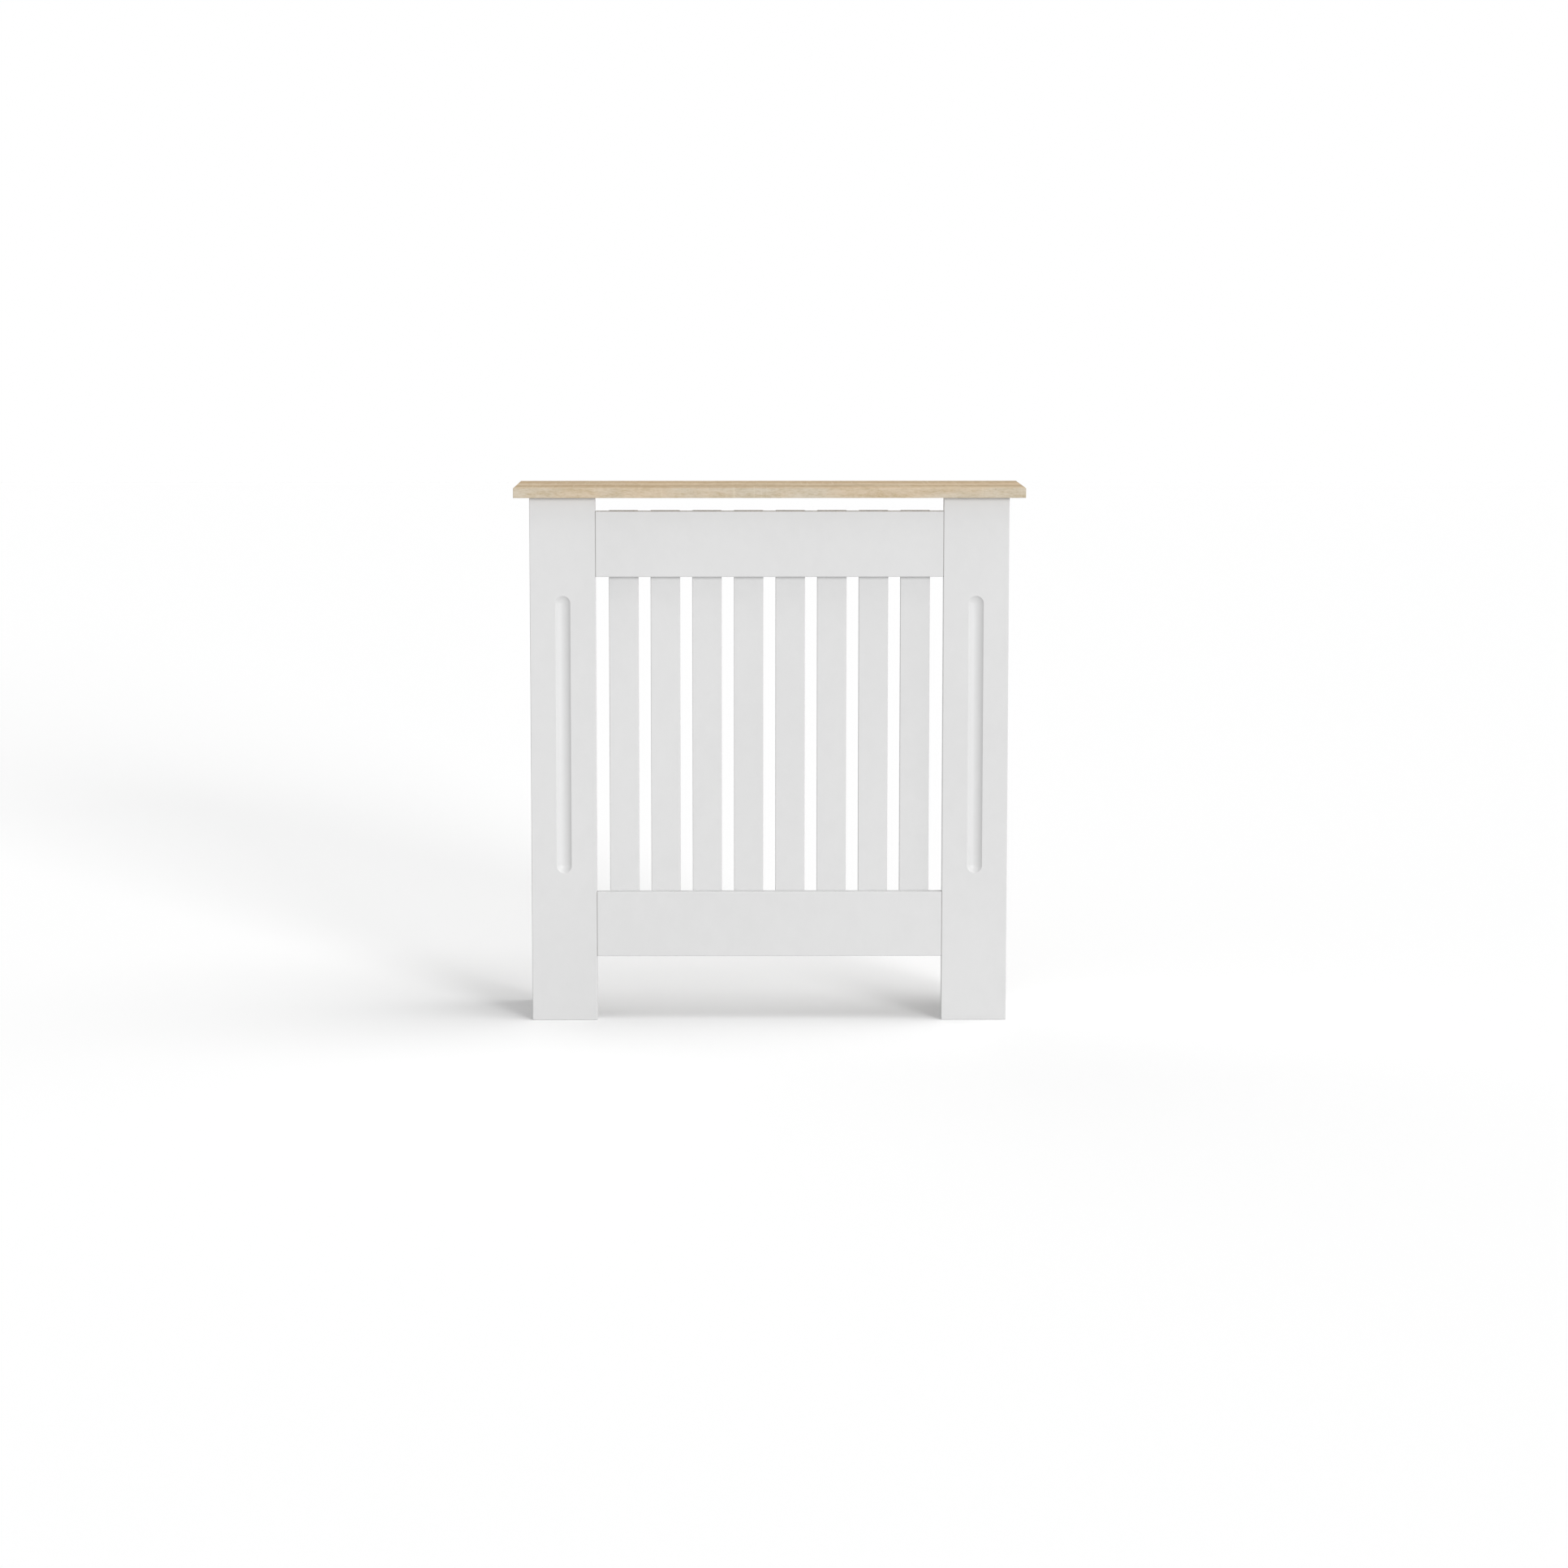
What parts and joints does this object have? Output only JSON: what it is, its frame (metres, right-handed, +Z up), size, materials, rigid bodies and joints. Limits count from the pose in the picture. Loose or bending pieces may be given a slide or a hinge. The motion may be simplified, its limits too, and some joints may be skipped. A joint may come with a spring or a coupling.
{
  "type": "radiator cover cabinet",
  "caption": "Slatted radiator cover cabinet, painted white, with fluted front posts and an oak-effect top, fixed together with cam locks and dowels.",
  "frame": {"origin": "on the floor, at the middle of the cabinet's width and depth", "axes": "+Z up, +Y towards the wall behind the cabinet, -Y towards the room, +X to the right as seen from the room"},
  "size_m": [0.776, 0.19, 0.821],
  "materials": {
    "painted_board": "satin white paint on fibreboard",
    "oak_effect_laminate": "matt oak-effect laminate with a light saw-cut grain",
    "beech_dowel": "plain beech",
    "die_cast_cam": "die-cast zinc, dull",
    "zinc_plated_bolt": "zinc-plated",
    "zinc_plated_screw": "zinc-plated",
    "zinc_plated_bracket": "zinc-plated"
  },
  "bodies": {
    "cabinet": {"bracket_screws": "zinc_plated_screw", "left_post": "painted_board", "left_side_panel": "painted_board", "left_wall_bracket": "zinc_plated_bracket", "lower_rail": "painted_board", "lower_slat_screws": "zinc_plated_screw", "panel_cam_bolts": "zinc_plated_bolt", "panel_dowels": "beech_dowel", "rail_cam_bolts": "zinc_plated_bolt", "rail_dowels": "beech_dowel", "right_post": "painted_board", "right_side_panel": "painted_board", "right_wall_bracket": "zinc_plated_bracket", "slat_1": "painted_board", "slat_2": "painted_board", "slat_3": "painted_board", "slat_4": "painted_board", "slat_5": "painted_board", "slat_6": "painted_board", "slat_7": "painted_board", "slat_8": "painted_board", "top_board": "oak_effect_laminate", "top_cam_bolts": "zinc_plated_bolt", "top_dowels": "beech_dowel", "upper_rail": "painted_board", "upper_slat_screws": "zinc_plated_screw"},
    "left_upper_rail_cam": {"left_upper_rail_cam": "die_cast_cam"},
    "left_lower_rail_cam": {"left_lower_rail_cam": "die_cast_cam"},
    "left_upper_panel_cam": {"left_upper_panel_cam": "die_cast_cam"},
    "left_lower_panel_cam": {"left_lower_panel_cam": "die_cast_cam"},
    "left_front_top_cam": {"left_front_top_cam": "die_cast_cam"},
    "left_rear_top_cam": {"left_rear_top_cam": "die_cast_cam"},
    "right_upper_rail_cam": {"right_upper_rail_cam": "die_cast_cam"},
    "right_lower_rail_cam": {"right_lower_rail_cam": "die_cast_cam"},
    "right_upper_panel_cam": {"right_upper_panel_cam": "die_cast_cam"},
    "right_lower_panel_cam": {"right_lower_panel_cam": "die_cast_cam"},
    "right_front_top_cam": {"right_front_top_cam": "die_cast_cam"},
    "right_rear_top_cam": {"right_rear_top_cam": "die_cast_cam"}
  },
  "joints": [
    {"name": "left_upper_rail_cam_turn", "type": "hinge", "parent": "cabinet", "child": "left_upper_rail_cam", "pos_m": [-0.2885, -0.0725, 0.735], "axis": [0, 1, 0], "range_deg": [0, 180]},
    {"name": "left_lower_rail_cam_turn", "type": "hinge", "parent": "cabinet", "child": "left_lower_rail_cam", "pos_m": [-0.2885, -0.0725, 0.15], "axis": [0, 1, 0], "range_deg": [0, 180]},
    {"name": "left_upper_panel_cam_turn", "type": "hinge", "parent": "cabinet", "child": "left_upper_panel_cam", "pos_m": [-0.357, -0.041, 0.71], "axis": [1, 0, 0], "range_deg": [0, 180]},
    {"name": "left_lower_panel_cam_turn", "type": "hinge", "parent": "cabinet", "child": "left_lower_panel_cam", "pos_m": [-0.357, -0.041, 0.11], "axis": [1, 0, 0], "range_deg": [0, 180]},
    {"name": "left_front_top_cam_turn", "type": "hinge", "parent": "cabinet", "child": "left_front_top_cam", "pos_m": [-0.357, -0.008, 0.782], "axis": [1, 0, 0], "range_deg": [0, 180]},
    {"name": "left_rear_top_cam_turn", "type": "hinge", "parent": "cabinet", "child": "left_rear_top_cam", "pos_m": [-0.357, 0.056, 0.782], "axis": [1, 0, 0], "range_deg": [0, 180]},
    {"name": "right_upper_rail_cam_turn", "type": "hinge", "parent": "cabinet", "child": "right_upper_rail_cam", "pos_m": [0.2885, -0.0725, 0.735], "axis": [0, 1, 0], "range_deg": [0, 180]},
    {"name": "right_lower_rail_cam_turn", "type": "hinge", "parent": "cabinet", "child": "right_lower_rail_cam", "pos_m": [0.2885, -0.0725, 0.15], "axis": [0, 1, 0], "range_deg": [0, 180]},
    {"name": "right_upper_panel_cam_turn", "type": "hinge", "parent": "cabinet", "child": "right_upper_panel_cam", "pos_m": [0.357, -0.041, 0.71], "axis": [-1, 0, 0], "range_deg": [0, 180]},
    {"name": "right_lower_panel_cam_turn", "type": "hinge", "parent": "cabinet", "child": "right_lower_panel_cam", "pos_m": [0.357, -0.041, 0.11], "axis": [-1, 0, 0], "range_deg": [0, 180]},
    {"name": "right_front_top_cam_turn", "type": "hinge", "parent": "cabinet", "child": "right_front_top_cam", "pos_m": [0.357, -0.008, 0.782], "axis": [-1, 0, 0], "range_deg": [0, 180]},
    {"name": "right_rear_top_cam_turn", "type": "hinge", "parent": "cabinet", "child": "right_rear_top_cam", "pos_m": [0.357, 0.056, 0.782], "axis": [-1, 0, 0], "range_deg": [0, 180]}
  ]
}
